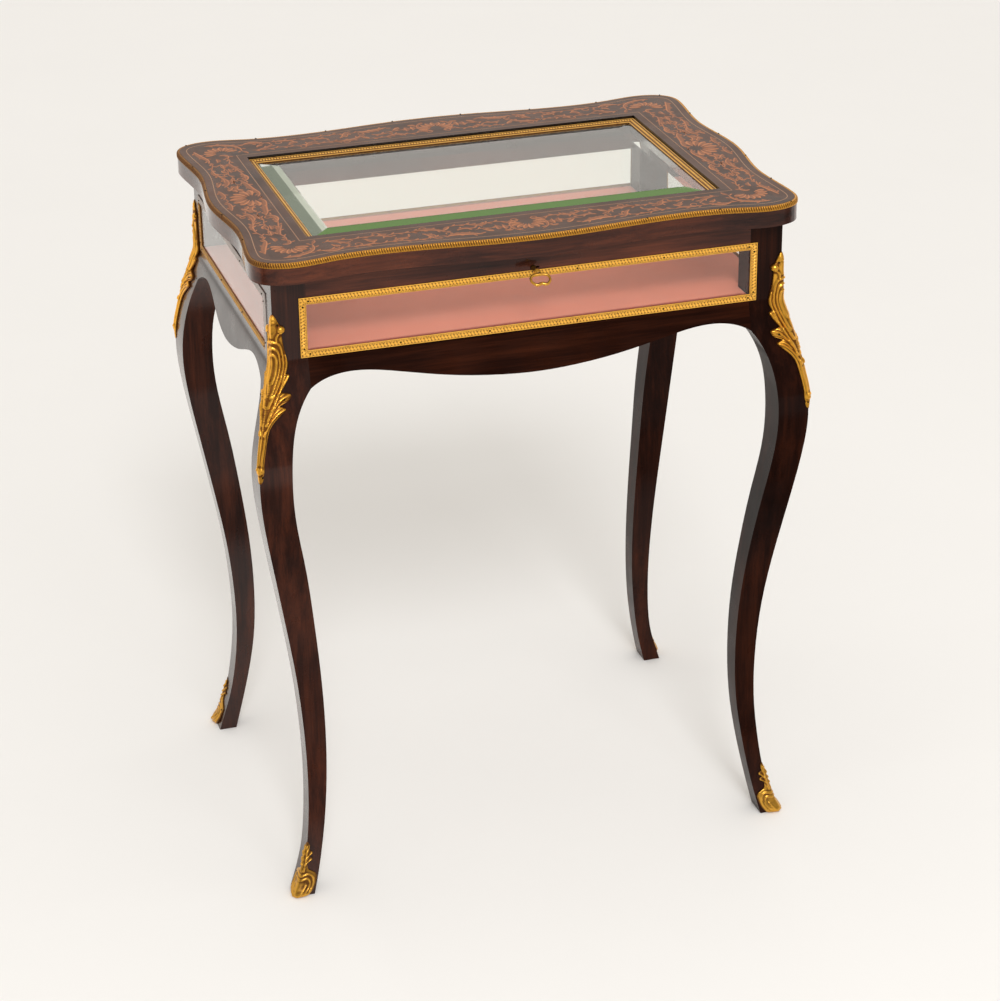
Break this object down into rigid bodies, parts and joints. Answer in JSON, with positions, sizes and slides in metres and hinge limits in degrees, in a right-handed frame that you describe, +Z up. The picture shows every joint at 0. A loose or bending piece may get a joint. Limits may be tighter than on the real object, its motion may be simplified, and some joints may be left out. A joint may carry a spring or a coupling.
{
  "type": "collectors display table",
  "caption": "Glazed display table on cabriole legs, with a bevelled glass lid, inlaid serpentine top, gilt mounts and a lockable case.",
  "frame": {"origin": "on the floor, in the middle of the table's width and depth", "axes": "+Z up; the front with the lock faces -Y; +X to the right as seen from the front"},
  "size_m": [0.6352, 0.4464, 0.7606],
  "materials": {
    "rosewood": "dark rosewood veneer, french polished",
    "marquetry_veneer": "dark veneer inlaid with pale scrolls, french polished",
    "carcass_wood": "plain secondary wood",
    "gilt_brass": "gilt cast and rolled brass",
    "aged_brass": "darkened brass",
    "lock_steel": "plain steel",
    "clear_glass": "clear plate glass, faintly green at the edges",
    "pink_cloth": "pink woven cloth over a thin pad"
  },
  "bodies": {
    "case": {"apron_back": "rosewood", "apron_front": "rosewood", "apron_left": "rosewood", "apron_right": "rosewood", "base_board": "carcass_wood", "base_fillets": "carcass_wood", "base_lining": "pink_cloth", "brass_frame_back": "gilt_brass", "brass_frame_front": "gilt_brass", "brass_frame_left": "gilt_brass", "brass_frame_right": "gilt_brass", "case_hinge_leaf_left": "aged_brass", "case_hinge_leaf_right": "aged_brass", "case_hinge_screws": "aged_brass", "frame_pins": "aged_brass", "hinge_pin_left": "aged_brass", "hinge_pin_right": "aged_brass", "knee_mount_back_left": "gilt_brass", "knee_mount_back_right": "gilt_brass", "knee_mount_front_left": "gilt_brass", "knee_mount_front_right": "gilt_brass", "leg_back_left": "rosewood", "leg_back_right": "rosewood", "leg_front_left": "rosewood", "leg_front_right": "rosewood", "lock_cap": "lock_steel", "lock_case": "lock_steel", "lock_screws": "lock_steel", "mount_pins": "aged_brass", "pane_back": "clear_glass", "pane_front": "clear_glass", "pane_left": "clear_glass", "pane_right": "clear_glass", "sabot_back_left": "gilt_brass", "sabot_back_right": "gilt_brass", "sabot_front_left": "gilt_brass", "sabot_front_right": "gilt_brass", "top_rail_back": "rosewood", "top_rail_front": "rosewood", "top_rail_left": "rosewood", "top_rail_right": "rosewood"},
    "lid": {"lid_edge_band": "gilt_brass", "lid_glass": "clear_glass", "lid_hinge_leaf_left": "aged_brass", "lid_hinge_leaf_right": "aged_brass", "lid_hinge_screws": "aged_brass", "lid_moulding_back": "gilt_brass", "lid_moulding_front": "gilt_brass", "lid_moulding_left": "gilt_brass", "lid_moulding_right": "gilt_brass", "lid_pins": "aged_brass", "lid_rail_back": "marquetry_veneer", "lid_rail_front": "marquetry_veneer", "lid_rail_left": "marquetry_veneer", "lid_rail_right": "marquetry_veneer", "link_plate": "lock_steel", "link_screws": "lock_steel"},
    "key": {"key": "aged_brass"},
    "bolt": {"lock_bolt": "lock_steel"}
  },
  "joints": [
    {"name": "lid_hinge", "type": "hinge", "parent": "case", "child": "lid", "pos_m": [0, 0.1935, 0.73575], "axis": [-1, 0, 0], "range_deg": [0, 98]},
    {"name": "key_turn", "type": "hinge", "parent": "case", "child": "key", "pos_m": [0, -0.1905, 0.7155], "axis": [0, -1, 0], "range_deg": [0, 90]},
    {"name": "lock_bolt_slide", "type": "slide", "parent": "case", "child": "bolt", "axis": [-1, 0, 0], "range_m": [0, 0.005]}
  ],
  "couplings": [
    {"joint": "lock_bolt_slide", "follows": "key_turn", "m_per_rad": 0.003183}
  ]
}
